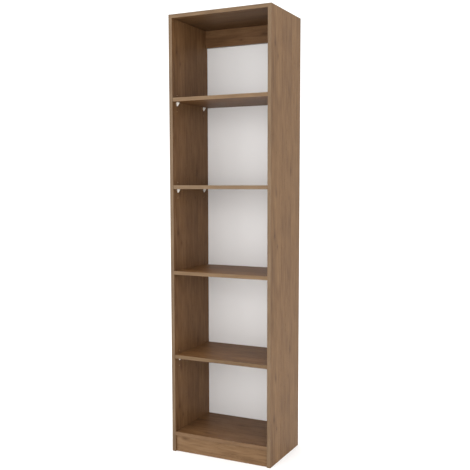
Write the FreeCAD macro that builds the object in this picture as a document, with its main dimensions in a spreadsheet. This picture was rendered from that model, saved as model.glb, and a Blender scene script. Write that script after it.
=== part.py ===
"""Tall, narrow bookcase with adjustable shelves, in millimetres.

+Z is up and the front faces -Y. The origin is on the floor, in the middle of the whole piece.
Each board, edge strip, shelf pin and set of fasteners is a separate node, written to parts/NODE.step.
"""

import FreeCAD, Part
import os

import Sketcher
from FreeCAD import Placement, Rotation, Vector

doc = FreeCAD.newDocument("bookcase")

# ---------------------------------------------------------------- driving dimensions

SIZES = [
    ("width", 452, "over both sides"),
    ("height", 1798, "from the floor to the top"),
    ("side_depth", 294, "front to rear of a side, with its edge strip"),
    ("board", 15, "thickness of every board"),
    ("back_thickness", 3, "hardboard back panel"),
    ("back_margin", 2, "from the back panel's edge to the side's outer face and the top"),
    ("band", 0.8, "thickness of an edge strip"),
    ("band_round", 0.4, "rounding along an edge strip"),
    ("plinth_height", 70, "floor to the underside of the bottom shelf"),
    ("plinth_recess", 8, "plinth behind the front edges"),
    ("rail_height", 72, "rear top rail"),
    ("middle_top", 766, "floor to the top of the fixed middle shelf"),
    ("hole_pitch", 32, "from one shelf-pin hole to the next"),
    ("shelf_steps", 11, "hole pitches between neighbouring shelves"),
    ("hole_count", 3, "shelf-pin holes one above the other at each shelf"),
    ("row_inset", 37, "shelf-pin hole row to the nearest long edge of the side"),
    ("pin_hole_radius", 2.5, "shelf-pin hole"),
    ("pin_hole_deep", 10, "shelf-pin hole"),
    ("shelf_end_gap", 1, "adjustable shelf's end to the side"),
    ("shelf_front_gap", 1, "adjustable shelf's front behind the side's front"),
    ("shelf_rear_gap", 1, "adjustable shelf's rear to the back panel"),
    ("peg_clearance", 0.05, "shelf pin's peg in its hole, on the radius"),
    ("peg_length", 9, "shelf pin's peg"),
    ("peg_drop", 5, "peg's axis below the shelf"),
    ("pin_width", 12, "shelf pin, along the side"),
    ("pin_reach", 8, "shelf pin, under the shelf"),
    ("pin_tall", 15, "shelf pin, top to bottom"),
    ("pin_lip", 2, "shelf pin's flat tip and its foot"),
    ("pin_brow", 4, "shelf pin's full width, down from the shelf"),
    ("pin_foot_width", 4, "shelf pin's foot, along the side"),
    ("pin_round", 0.8, "shelf pin's rounded corners"),
    ("bolt_inset", 37, "cam bolt to the nearest long edge"),
    ("dowel_step", 32, "cam bolt to the dowel beside it"),
    ("cam_setback", 24, "cam lock's centre to the board's end"),
    ("cam_radius", 7.5, "cam lock's hole"),
    ("cam_deep", 12.5, "cam lock's hole"),
    ("cam_slot", 7.6, "room for the bolt in the cam lock"),
    ("bolt_bore_radius", 4, "bore for the cam bolt in the board's end"),
    ("bolt_hole_radius", 3.5, "hole for the cam bolt's thread in the side"),
    ("bolt_thread", 10, "cam bolt's threaded length"),
    ("bolt_neck_radius", 2.2, "cam bolt behind its head"),
    ("bolt_shank_radius", 3, "cam bolt between thread and neck"),
    ("bolt_head_radius", 3.3, "cam bolt's head"),
    ("dowel_radius", 4, "hole for a wooden dowel"),
    ("dowel_in_side", 10, "dowel hole in a side"),
    ("dowel_in_board", 20, "dowel hole in a board's end"),
    ("edge_dowel_inset", 18, "dowels of plinth and rail, from their long edges"),
    ("fastener_clearance", 0.05, "fitting in its hole, on the radius"),
    ("hole_spare", 0.5, "blind hole deeper than what it holds"),
    ("nail_radius", 0.8, "back panel nail"),
    ("nail_length", 20, "back panel nail"),
    ("nail_head_radius", 2, "back panel nail"),
    ("nail_head_thick", 0.8, "back panel nail"),
    ("nail_end_gap", 100, "last nail in a side to the back panel's end"),
    ("nail_spread", 150, "nail to nail along a board's rear edge"),
]

sheet = doc.addObject("Spreadsheet::Sheet", "sizes")
for row, (alias, size, note) in enumerate(SIZES, start=1):
    sheet.set(f"A{row}", alias)
    sheet.set(f"B{row}", str(size))
    sheet.set(f"C{row}", note)
    sheet.setAlias(f"B{row}", alias)
doc.recompute()

# Lengths and places that follow from the sheet, as expressions. Places are in the whole piece's frame.
INNER_WIDTH = "(sizes.width - 2 * sizes.board)"
TOTAL_DEPTH = "(sizes.side_depth + sizes.back_thickness)"
LEFT = "(-sizes.width / 2)"
INNER_LEFT = "(sizes.board - sizes.width / 2)"
INNER_RIGHT = "(sizes.width / 2 - sizes.board)"
FRONT = f"(-{TOTAL_DEPTH} / 2)"
CORE_DEPTH = "(sizes.side_depth - sizes.band)"
CORE_HEIGHT = "(sizes.height - sizes.band)"
TOP_UNDER = "(sizes.height - sizes.board)"
MIDDLE_UNDER = "(sizes.middle_top - sizes.board)"
BOTTOM_UNDER = "sizes.plinth_height"
RAIL_UNDER = f"({TOP_UNDER} - sizes.rail_height)"
BACK_UNDER = BOTTOM_UNDER
BACK_HEIGHT = f"(sizes.height - sizes.back_margin - {BACK_UNDER})"
SHELF_RISE = "(sizes.shelf_steps * sizes.hole_pitch)"
SHELF_WIDTH = f"({INNER_WIDTH} - 2 * sizes.shelf_end_gap)"
SHELF_DEPTH = "(sizes.side_depth - sizes.shelf_front_gap - sizes.shelf_rear_gap)"

# Adjustable shelf: how many shelf rises it stands above the middle shelf.
ADJUSTABLE = {"upper": 2, "second": 1, "lower": -1}
# Board joined to the sides with cam fittings: the height of its underside.
JOINED = {"top": TOP_UNDER, "middle": MIDDLE_UNDER, "bottom": BOTTOM_UNDER}

# Distances from the side's front: shelf-pin rows, cam bolts and dowels.
PIN_ROWS = {"front": "sizes.row_inset", "rear": "(sizes.side_depth - sizes.row_inset)"}
BOLT_PLACES = ["sizes.bolt_inset", "(sizes.side_depth - sizes.bolt_inset)"]
DOWEL_PLACES = [
    "(sizes.bolt_inset + sizes.dowel_step)",
    "(sizes.side_depth - sizes.bolt_inset - sizes.dowel_step)",
]
PLINTH_DOWEL_PLACE = "(sizes.plinth_recess + sizes.board / 2)"
RAIL_DOWEL_PLACE = "(sizes.side_depth - sizes.board / 2)"

BACK_LEFT = f"({LEFT} + sizes.back_margin)"

# Nails up each side, evenly spaced between the two end gaps, and three into each fixed board's rear edge.
NAILS_PER_SIDE = 12
NAIL_SPAN = f"({BACK_HEIGHT} - 2 * sizes.nail_end_gap)"
NAIL_STEP = f"({NAIL_SPAN} / {NAILS_PER_SIDE - 1})"
NAIL_HEIGHTS = [f"({BACK_UNDER} + sizes.nail_end_gap + {i} * {NAIL_STEP})" for i in range(NAILS_PER_SIDE)]
NAIL_SPREADS = [f"({step} * sizes.nail_spread)" for step in (-1, 0, 1)]
SIDE_MIDDLES = [f"({LEFT} + sizes.board / 2)", "(sizes.width / 2 - sizes.board / 2)"]
NAIL_PLACES = [(x, height) for x in SIDE_MIDDLES for height in NAIL_HEIGHTS]
NAIL_PLACES += [(x, f"({under} + sizes.board / 2)") for under in JOINED.values() for x in NAIL_SPREADS]
NAIL_HOLE_RADIUS = "(sizes.nail_radius + sizes.fastener_clearance)"
NAIL_RECESS_RADIUS = "(sizes.nail_head_radius + sizes.fastener_clearance)"
NAIL_IN_BOARD = "(sizes.nail_length - sizes.back_thickness)"


def shelf_under(name):
    """The height of an adjustable shelf's underside."""
    return f"({MIDDLE_UNDER} + {ADJUSTABLE[name]} * {SHELF_RISE})"


def peg_height(name):
    """The height of the pegs that hold an adjustable shelf."""
    return f"({shelf_under(name)} - sizes.peg_drop)"


def edge_dowel_heights(under, board_height):
    """The heights of the two dowels in an upright board's end."""
    low = f"({under} + sizes.edge_dowel_inset)"
    high = f"({under} + {board_height} - sizes.edge_dowel_inset)"
    return [low, high]


PLINTH_DOWEL_HEIGHTS = edge_dowel_heights("0", "sizes.plinth_height")
RAIL_DOWEL_HEIGHTS = edge_dowel_heights(RAIL_UNDER, "sizes.rail_height")


# ---------------------------------------------------------------- helpers

# Two places closer than this are the same place.
NEAR = 1e-6

NODES = []
CUTS = []


def number(expression):
    """An expression's value now."""
    return float(sheet.evalExpression(expression))


def place(thing, x="0", y="0", z="0"):
    """Ties a thing's place to the sheet."""
    for axis, expression in zip("xyz", (x, y, z)):
        thing.setExpression(f"Placement.Base.{axis}", expression)


def new_body(label, x="0", y="0", z="0", node=True):
    """A body whose low corner, or fixing point, is at x, y, z."""
    body = doc.addObject("PartDesign::Body", label)
    body.Label = label
    place(body, x, y, z)
    if node:
        NODES.append(body)
    return body


def new_sketch(body, name, plane, offset="0"):
    """A sketch on one of the body's own origin planes, moved along the plane's normal."""
    sketch = body.newObject("Sketcher::SketchObject", name)
    role = [feature for feature in body.Origin.OriginFeatures if feature.Role == plane]
    sketch.AttachmentSupport = [(role[0], "")]
    sketch.MapMode = "FlatFace"
    sketch.setExpression("AttachmentOffset.Base.z", offset)
    return sketch


def tie(sketch, kind, parts, expression):
    """A dimension of a sketch that follows an expression."""
    index = sketch.addConstraint(Sketcher.Constraint(kind, *parts, number(expression)))
    sketch.setExpression(f"Constraints[{index}]", expression)


def draw_outline(sketch, points):
    """A closed outline of straight lines through points given as pairs of expressions."""
    corners = [Vector(number(x), number(y), 0) for x, y in points]
    count = len(corners)
    for i in range(count):
        sketch.addGeometry(Part.LineSegment(corners[i], corners[(i + 1) % count]))
    for i in range(count):
        sketch.addConstraint(Sketcher.Constraint("Coincident", i, 2, (i + 1) % count, 1))
    for i, (x, y) in enumerate(points):
        tie(sketch, "DistanceX", (-1, 1, i, 1), x)
        tie(sketch, "DistanceY", (-1, 1, i, 1), y)


def draw_rectangle(sketch, width, height, left="0", low="0"):
    """A rectangle of the given size, from its low left corner."""
    right = f"({left} + {width})"
    high = f"({low} + {height})"
    draw_outline(sketch, [(left, low), (right, low), (right, high), (left, high)])


def draw_circles(sketch, radius, centres):
    """Circles of one radius, with each centre a pair of expressions."""
    for i, (x, y) in enumerate(centres):
        centre = Vector(number(x), number(y), 0)
        sketch.addGeometry(Part.Circle(centre, Vector(0, 0, 1), number(radius)))
        tie(sketch, "Radius", (i,), radius)
        tie(sketch, "DistanceX", (-1, 1, i, 3), x)
        tie(sketch, "DistanceY", (-1, 1, i, 3), y)


def pad(body, name, sketch, length, reverse=False):
    """Extrudes a sketch into solid."""
    feature = body.newObject("PartDesign::Pad", name)
    feature.Profile = sketch
    feature.Reversed = reverse
    feature.setExpression("Length", length)
    return feature


def pocket(body, name, sketch, deep, reverse=False):
    """Cuts a sketch into the solid; the cut is checked once everything is built."""
    feature = body.newObject("PartDesign::Pocket", name)
    feature.Profile = sketch
    feature.Reversed = reverse
    feature.setExpression("Length", deep)
    CUTS.append(feature)
    return feature


def round_edges(body, feature, radius, test):
    """Rounds the straight edges of a feature whose two ends pass a test."""
    doc.recompute()
    chosen = []
    for i, edge in enumerate(feature.Shape.Edges, start=1):
        start, end = (vertex.Point for vertex in edge.Vertexes)
        if test(start, end):
            chosen.append(f"Edge{i}")
    rounding = body.newObject("PartDesign::Fillet", "rounding")
    rounding.Base = (feature, chosen)
    rounding.setExpression("Radius", radius)
    body.Tip = rounding


# ---------------------------------------------------------------- boards


def flat_board(label, width, depth, x, y, z):
    """A lying board: width across, depth front to rear, one board thick."""
    body = new_body(label, x, y, z)
    outline = new_sketch(body, "outline", "XY_Plane")
    draw_rectangle(outline, width, depth)
    pad(body, "panel", outline, "sizes.board")
    return body


def upright_board(label, height, thick, width, x, y, z):
    """A board standing across the bookcase."""
    body = new_body(label, x, y, z)
    outline = new_sketch(body, "outline", "XZ_Plane")
    draw_rectangle(outline, width, height)
    pad(body, "panel", outline, thick, reverse=True)
    return body


def drill_ends(body, name, radius, deep, width, centres):
    """The same blind holes in a board's left and right ends; centres are depth and height in the board."""
    for end, offset, reverse in (("left", "0", True), ("right", width, False)):
        holes = new_sketch(body, f"{name}_{end}", "YZ_Plane", offset)
        draw_circles(holes, radius, centres)
        pocket(body, f"{name}_bore_{end}", holes, deep, reverse)


def drill_rear(body, name, radius, deep, rear, centres):
    """Holes from a board's rear face, which lies at depth rear; centres are width and height in the board."""
    holes = new_sketch(body, name, "XZ_Plane", f"(-{rear})")
    draw_circles(holes, radius, centres)
    pocket(body, f"{name}_bore", holes, deep, reverse=True)


def fit_cams(body, face_up):
    """Cam lock holes in one face of a board, with the bolt and dowel bores in its ends."""
    band_back = [f"({place_y} - sizes.band)" for place_y in BOLT_PLACES]
    dowel_back = [f"({place_y} - sizes.band)" for place_y in DOWEL_PLACES]
    ends = ["sizes.cam_setback", f"({INNER_WIDTH} - sizes.cam_setback)"]
    face = new_sketch(body, "cam_holes", "XY_Plane", "sizes.board" if face_up else "0")
    draw_circles(face, "sizes.cam_radius", [(x, y) for x in ends for y in band_back])
    pocket(body, "cam_pockets", face, "sizes.cam_deep", reverse=not face_up)
    middle = "(sizes.board / 2)"
    bolts = [(y, middle) for y in band_back]
    drill_ends(body, "bolt", "sizes.bolt_bore_radius", "sizes.cam_setback", INNER_WIDTH, bolts)
    dowels = [(y, middle) for y in dowel_back]
    drill_ends(body, "dowel", "sizes.dowel_radius", "sizes.dowel_in_board", INNER_WIDTH, dowels)


def side_panel(label, x, inner_offset, reverse):
    """A side board with its shelf-pin holes and the holes for bolts and dowels in its inner face."""
    body = new_body(label, x, f"({FRONT} + sizes.band)")
    outline = new_sketch(body, "outline", "YZ_Plane")
    draw_rectangle(outline, CORE_DEPTH, CORE_HEIGHT)
    pad(body, "panel", outline, "sizes.board")

    def behind_band(place_y):
        return f"({place_y} - sizes.band)"

    bolts = []
    dowels = []
    for under in JOINED.values():
        middle = f"({under} + sizes.board / 2)"
        bolts += [(behind_band(place_y), middle) for place_y in BOLT_PLACES]
        dowels += [(behind_band(place_y), middle) for place_y in DOWEL_PLACES]
    dowels += [(behind_band(PLINTH_DOWEL_PLACE), height) for height in PLINTH_DOWEL_HEIGHTS]
    dowels += [(behind_band(RAIL_DOWEL_PLACE), height) for height in RAIL_DOWEL_HEIGHTS]
    bolt_holes = new_sketch(body, "bolt_holes", "YZ_Plane", inner_offset)
    draw_circles(bolt_holes, "sizes.bolt_hole_radius", bolts)
    pocket(body, "bolt_bores", bolt_holes, "(sizes.bolt_thread + sizes.hole_spare)", reverse)
    dowel_holes = new_sketch(body, "dowel_holes", "YZ_Plane", inner_offset)
    draw_circles(dowel_holes, "sizes.dowel_radius", dowels)
    pocket(body, "dowel_bores", dowel_holes, "sizes.dowel_in_side", reverse)
    nail_holes = [("(sizes.board / 2)", height) for height in NAIL_HEIGHTS]
    drill_rear(body, "nail_holes", NAIL_HOLE_RADIUS, NAIL_IN_BOARD, CORE_DEPTH, nail_holes)

    # The lowest hole of each stack is drilled, and the stacks are repeated upwards at the hole pitch.
    below = "(sizes.hole_pitch * (sizes.hole_count - 1) / 2)"
    lowest = []
    for name in ADJUSTABLE:
        lowest += [(behind_band(row), f"({peg_height(name)} - {below})") for row in PIN_ROWS.values()]
    pin_holes = new_sketch(body, "pin_holes", "YZ_Plane", inner_offset)
    draw_circles(pin_holes, "sizes.pin_hole_radius", lowest)
    bores = pocket(body, "pin_bores", pin_holes, "sizes.pin_hole_deep", reverse)
    stacks = body.newObject("PartDesign::LinearPattern", "pin_hole_stacks")
    stacks.Originals = [bores]
    stacks.Direction = (pin_holes, ["V_Axis"])
    stacks.setExpression("Length", "sizes.hole_pitch * (sizes.hole_count - 1)")
    stacks.setExpression("Occurrences", "sizes.hole_count")
    CUTS.append(stacks)
    body.Tip = stacks
    return body


side_panel("side_panel_left", LEFT, "sizes.board", reverse=False)
side_panel("side_panel_right", INNER_RIGHT, "0", reverse=True)

CORE_FRONT = f"({FRONT} + sizes.band)"
for name, under in JOINED.items():
    label = "top_panel" if name == "top" else f"{name}_shelf"
    board = flat_board(label, INNER_WIDTH, CORE_DEPTH, INNER_LEFT, CORE_FRONT, under)
    fit_cams(board, face_up=name == "top")
    nail_holes = [(f"({x} - {INNER_LEFT})", "(sizes.board / 2)") for x in NAIL_SPREADS]
    drill_rear(board, "nail_holes", NAIL_HOLE_RADIUS, NAIL_IN_BOARD, CORE_DEPTH, nail_holes)

SHELF_LEFT = f"({INNER_LEFT} + sizes.shelf_end_gap)"
SHELF_FRONT = f"({FRONT} + sizes.shelf_front_gap)"
for name in ADJUSTABLE:
    flat_board(
        f"adjustable_shelf_{name}",
        SHELF_WIDTH,
        f"({SHELF_DEPTH} - sizes.band)",
        SHELF_LEFT,
        f"({SHELF_FRONT} + sizes.band)",
        shelf_under(name),
    )

EDGE_DOWELS = "sizes.board / 2"
plinth = upright_board(
    "plinth",
    "sizes.plinth_height",
    "sizes.board",
    INNER_WIDTH,
    INNER_LEFT,
    f"({FRONT} + sizes.plinth_recess)",
    "0",
)
drill_ends(
    plinth,
    "dowel",
    "sizes.dowel_radius",
    "sizes.dowel_in_board",
    INNER_WIDTH,
    [(EDGE_DOWELS, height) for height in PLINTH_DOWEL_HEIGHTS],
)

# The rail's lower edge carries a strip, so its core starts above it.
rail = upright_board(
    "back_rail",
    "(sizes.rail_height - sizes.band)",
    "sizes.board",
    INNER_WIDTH,
    INNER_LEFT,
    f"({FRONT} + sizes.side_depth - sizes.board)",
    f"({RAIL_UNDER} + sizes.band)",
)
drill_ends(
    rail,
    "dowel",
    "sizes.dowel_radius",
    "sizes.dowel_in_board",
    INNER_WIDTH,
    [(EDGE_DOWELS, f"({height} - {RAIL_UNDER} - sizes.band)") for height in RAIL_DOWEL_HEIGHTS],
)

back = upright_board(
    "back_panel",
    BACK_HEIGHT,
    "sizes.back_thickness",
    "(sizes.width - 2 * sizes.back_margin)",
    BACK_LEFT,
    f"({FRONT} + sizes.side_depth)",
    BACK_UNDER,
)

# Each nail has a hole through the panel and a recess that takes its head, flush with the panel's rear face.
THROUGH = "sizes.back_thickness"
nail_holes = [(f"({x} - {BACK_LEFT})", f"({height} - {BACK_UNDER})") for x, height in NAIL_PLACES]
drill_rear(back, "nail_holes", NAIL_HOLE_RADIUS, THROUGH, THROUGH, nail_holes)
drill_rear(back, "nail_recesses", NAIL_RECESS_RADIUS, "sizes.nail_head_thick", THROUGH, nail_holes)


# ---------------------------------------------------------------- edge strips


def front_strip(label, width, height, x, y, z):
    """An edge strip on a front edge, with its two long front corners rounded."""
    body = new_body(label, x, y, z)
    outline = new_sketch(body, "outline", "XZ_Plane")
    draw_rectangle(outline, width, height)
    strip = pad(body, "strip", outline, "sizes.band", reverse=True)
    run = "z" if number(height) > number(width) else "x"

    def long_and_in_front(start, end):
        in_front = max(abs(start.y), abs(end.y)) < NEAR
        return in_front and abs(getattr(start, run) - getattr(end, run)) > NEAR

    round_edges(body, strip, "sizes.band_round", long_and_in_front)


def lying_strip(label, width, depth, x, y, z):
    """An edge strip that lies on a board's upper or lower edge."""
    body = new_body(label, x, y, z)
    outline = new_sketch(body, "outline", "XY_Plane")
    draw_rectangle(outline, width, depth)
    pad(body, "strip", outline, "sizes.band")


for side, x in (("left", LEFT), ("right", INNER_RIGHT)):
    front_strip(f"edge_strip_side_{side}", "sizes.board", "sizes.height", x, FRONT, "0")
    lying_strip(f"edge_strip_top_end_{side}", "sizes.board", CORE_DEPTH, x, CORE_FRONT, CORE_HEIGHT)
for name, under in JOINED.items():
    front_strip(f"edge_strip_{name}", INNER_WIDTH, "sizes.board", INNER_LEFT, FRONT, under)
for name in ADJUSTABLE:
    label = f"edge_strip_shelf_{name}"
    front_strip(label, SHELF_WIDTH, "sizes.board", SHELF_LEFT, SHELF_FRONT, shelf_under(name))
RAIL_FRONT = f"({FRONT} + sizes.side_depth - sizes.board)"
lying_strip("edge_strip_back_rail", INNER_WIDTH, "sizes.board", INNER_LEFT, RAIL_FRONT, RAIL_UNDER)


# ---------------------------------------------------------------- shelf pins


def shelf_pin(label, x, y, z, turn):
    """A wedge-shaped support with a peg: it reaches towards +X, and its peg goes into the side at -X."""
    body = new_body(label, node=False)
    profile = new_sketch(body, "wedge", "XZ_Plane")
    top = "sizes.peg_drop"
    foot = "(sizes.peg_drop - sizes.pin_tall)"
    draw_outline(
        profile,
        [
            ("0", foot),
            ("sizes.pin_lip", foot),
            ("sizes.pin_reach", f"({top} - sizes.pin_lip)"),
            ("sizes.pin_reach", top),
            ("0", top),
        ],
    )
    wedge = pad(body, "support", profile, "sizes.pin_width")
    wedge.Midplane = True
    for name, way in (("front", "-1"), ("rear", "1")):
        edge = f"({way} * sizes.pin_width / 2)"
        taper = new_sketch(body, f"taper_{name}", "YZ_Plane")
        foot_corner = f"({way} * sizes.pin_foot_width / 2)"
        draw_outline(taper, [(edge, f"({top} - sizes.pin_brow)"), (edge, foot), (foot_corner, foot)])
        wedge = pocket(body, f"taper_cut_{name}", taper, "sizes.pin_reach", reverse=True)
    reach = number("sizes.pin_reach")
    foot_level = number(foot)

    def outer_corner(start, end):
        at_tip = abs(start.x - reach) < NEAR and abs(end.x - reach) < NEAR
        at_foot = abs(start.z - foot_level) < NEAR and abs(end.z - foot_level) < NEAR
        return (at_tip or at_foot) and max(start.x, end.x) > NEAR

    round_edges(body, wedge, "sizes.pin_round", outer_corner)
    circle = new_sketch(body, "peg_circle", "YZ_Plane")
    draw_circles(circle, "(sizes.pin_hole_radius - sizes.peg_clearance)", [("0", "0")])
    pad(body, "peg", circle, "sizes.peg_length", reverse=True)
    NODES.append(body)
    body.Placement = Placement(Vector(), Rotation(Vector(0, 0, 1), turn))
    place(body, x, y, z)


for name in ADJUSTABLE:
    for side, x, turn in (("left", INNER_LEFT, 0), ("right", INNER_RIGHT, 180)):
        for row, place_y in PIN_ROWS.items():
            shelf_pin(f"shelf_pin_{name}_{side}_{row}", x, f"({FRONT} + {place_y})", peg_height(name), turn)


# ---------------------------------------------------------------- fasteners


def turned_piece(label, points):
    """A fastener turned about its own X axis: points are pairs of length and radius."""
    body = new_body(label, node=False)
    profile = new_sketch(body, "profile", "XZ_Plane")
    draw_outline(profile, points)
    turned = body.newObject("PartDesign::Revolution", "turned")
    turned.Profile = profile
    turned.ReferenceAxis = (profile, ["H_Axis"])
    turned.Angle = 360
    return body


def cam_lock_piece():
    """A cam lock upright about Z, with room for the bolt towards -X and a cross recess in its upper face."""
    body = new_body("cam_lock", node=False)
    disc = new_sketch(body, "disc", "XY_Plane")
    radius = "(sizes.cam_radius - sizes.fastener_clearance)"
    draw_circles(disc, radius, [("0", "0")])
    pad(body, "drum", disc, "sizes.cam_deep")
    slot = new_sketch(body, "slot", "YZ_Plane", f"(-{radius})")
    bolt_level = "(sizes.cam_deep - sizes.board / 2)"
    low = f"({bolt_level} - sizes.cam_slot / 2)"
    draw_rectangle(slot, "sizes.cam_slot", "sizes.cam_slot", "(-sizes.cam_slot / 2)", low)
    pocket(body, "bolt_slot", slot, f"({radius} + sizes.cam_slot / 2)", reverse=True)
    arm = "sizes.cam_radius"
    thick = "(sizes.cam_radius / 6)"
    for name, wide, tall in (("across", arm, thick), ("along", thick, arm)):
        cross = new_sketch(body, f"cross_{name}", "XY_Plane", "sizes.cam_deep")
        draw_rectangle(cross, wide, tall, f"(-{wide} / 2)", f"(-{tall} / 2)")
        pocket(body, f"recess_{name}", cross, "sizes.band")
    return body


THREAD_RADIUS = "(sizes.bolt_hole_radius - sizes.fastener_clearance)"
NECK_START = "(sizes.cam_setback - sizes.cam_radius)"
HEAD_START = "(sizes.cam_setback - sizes.bolt_head_radius)"
HEAD_END = "(sizes.cam_setback + sizes.bolt_head_radius)"
cam_bolt = turned_piece(
    "cam_bolt",
    [
        ("(-sizes.bolt_thread)", "0"),
        ("(-sizes.bolt_thread)", THREAD_RADIUS),
        ("0", THREAD_RADIUS),
        ("0", "sizes.bolt_shank_radius"),
        (NECK_START, "sizes.bolt_shank_radius"),
        (NECK_START, "sizes.bolt_neck_radius"),
        (HEAD_START, "sizes.bolt_neck_radius"),
        (HEAD_START, "sizes.bolt_head_radius"),
        (HEAD_END, "sizes.bolt_head_radius"),
        (HEAD_END, "0"),
    ],
)
DOWEL_SIDE_END = "(sizes.hole_spare - sizes.dowel_in_side)"
DOWEL_BOARD_END = "(sizes.dowel_in_board - sizes.hole_spare)"
DOWEL_RADIUS = "(sizes.dowel_radius - sizes.fastener_clearance)"
DOWEL_TIP = "(sizes.dowel_radius - 2 * sizes.hole_spare)"
dowel = turned_piece(
    "dowel",
    [
        (DOWEL_SIDE_END, "0"),
        (DOWEL_SIDE_END, DOWEL_TIP),
        (f"({DOWEL_SIDE_END} + sizes.hole_spare)", DOWEL_RADIUS),
        (f"({DOWEL_BOARD_END} - sizes.hole_spare)", DOWEL_RADIUS),
        (DOWEL_BOARD_END, DOWEL_TIP),
        (DOWEL_BOARD_END, "0"),
    ],
)
NAIL_SHANK_START = "(sizes.nail_length - sizes.nail_head_thick)"
nail = turned_piece(
    "nail",
    [
        ("0", "0"),
        ("sizes.nail_radius", "sizes.nail_radius"),
        (NAIL_SHANK_START, "sizes.nail_radius"),
        (NAIL_SHANK_START, "sizes.nail_head_radius"),
        ("sizes.nail_length", "sizes.nail_head_radius"),
        ("sizes.nail_length", "0"),
    ],
)
cam_lock = cam_lock_piece()


def fastener_group(label, design, places):
    """Separate copies of one fastener as one node; each place is x, y, z and a rotation."""
    copies = []
    for i, (x, y, z, turn) in enumerate(places, start=1):
        copy = doc.addObject("App::Link", f"{label}_{i}")
        copy.LinkedObject = design
        copy.Placement = Placement(Vector(), turn)
        place(copy, x, y, z)
        copies.append(copy)
    group = doc.addObject("Part::Compound", label)
    group.Label = label
    group.Links = copies
    NODES.append(group)


# A fitting points from its side into the board: towards +X at the left end and towards -X at the right end.
ENDS = [(INNER_LEFT, 1, 0), (INNER_RIGHT, -1, 180)]


def turned_about_z(angle):
    return Rotation(Vector(0, 0, 1), angle)


def end_fittings(places_y, heights):
    """The places of fittings at both ends of a board."""
    fittings = []
    for x, _, angle in ENDS:
        for place_y in places_y:
            for height in heights:
                fittings.append((x, f"({FRONT} + {place_y})", height, turned_about_z(angle)))
    return fittings


for name, under in JOINED.items():
    middle = f"({under} + sizes.board / 2)"
    fastener_group(f"cam_bolts_{name}", cam_bolt, end_fittings(BOLT_PLACES, [middle]))
    fastener_group(f"dowels_{name}", dowel, end_fittings(DOWEL_PLACES, [middle]))
    locks = []
    for x, inward, angle in ENDS:
        lock_x = f"({x} + {inward} * sizes.cam_setback)"
        turn = turned_about_z(angle)
        lock_z = f"({under} + sizes.board - sizes.cam_deep)"
        if name != "top":
            # Turned over about X, so that the cross recess shows in the board's underside.
            turn = turn.multiply(Rotation(Vector(1, 0, 0), 180))
            lock_z = f"({under} + sizes.cam_deep)"
        locks += [(lock_x, f"({FRONT} + {place_y})", lock_z, turn) for place_y in BOLT_PLACES]
    fastener_group(f"cam_locks_{name}", cam_lock, locks)
fastener_group("dowels_plinth", dowel, end_fittings([PLINTH_DOWEL_PLACE], PLINTH_DOWEL_HEIGHTS))
fastener_group("dowels_back_rail", dowel, end_fittings([RAIL_DOWEL_PLACE], RAIL_DOWEL_HEIGHTS))

NAIL_START = f"({FRONT} + {TOTAL_DEPTH} - sizes.nail_length)"
backwards = turned_about_z(90)
nails = [(x, NAIL_START, height, backwards) for x, height in NAIL_PLACES]
fastener_group("back_panel_nails", nail, nails)


# ---------------------------------------------------------------- checks and files

doc.recompute()

for thing in doc.Objects:
    if "Invalid" in thing.State or "Error" in thing.State:
        raise RuntimeError(f"{thing.Label} failed: {thing.State}")
for cut in CUTS:
    repeats = cut.isDerivedFrom("PartDesign::LinearPattern")
    before = cut.Originals[0].Shape if repeats else cut.BaseFeature.Shape
    if before.Volume - cut.Shape.Volume < 1:
        raise RuntimeError(f"{cut.Label} removes nothing")

os.makedirs("parts", exist_ok=True)
for node in NODES:
    if node.Shape.isNull() or not node.Shape.isValid():
        raise RuntimeError(f"{node.Label} has no valid shape")
    node.Shape.exportStep(f"parts/{node.Label}.step")
    box = node.Shape.BoundBox
    print(
        f"{node.Label:34s} solids {len(node.Shape.Solids):2d}"
        f"  x {box.XMin:8.2f} {box.XMax:8.2f}  y {box.YMin:8.2f} {box.YMax:8.2f}"
        f"  z {box.ZMin:8.2f} {box.ZMax:8.2f}"
    )
print(f"{len(NODES)} nodes")
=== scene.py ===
# %% [markdown]
# # A tall bookcase with adjustable shelves
#
# The bookcase is flat-pack furniture: particle board covered with a wood-grain foil, paler edge strips on
# the front edges, a thin white back panel, and little white plastic pins that carry the shelves that can
# move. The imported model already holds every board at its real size, so this lesson is mostly about
# finishes: how to print a believable wood grain with nothing but noise, how to show raw board where the
# foil stops, and how to light a piece of furniture softly. Everything is in metres, with +Z up and the
# front facing -Y.

# %% Load the frame
import math

import bmesh
import bpy
from mathutils import Matrix, Vector


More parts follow.
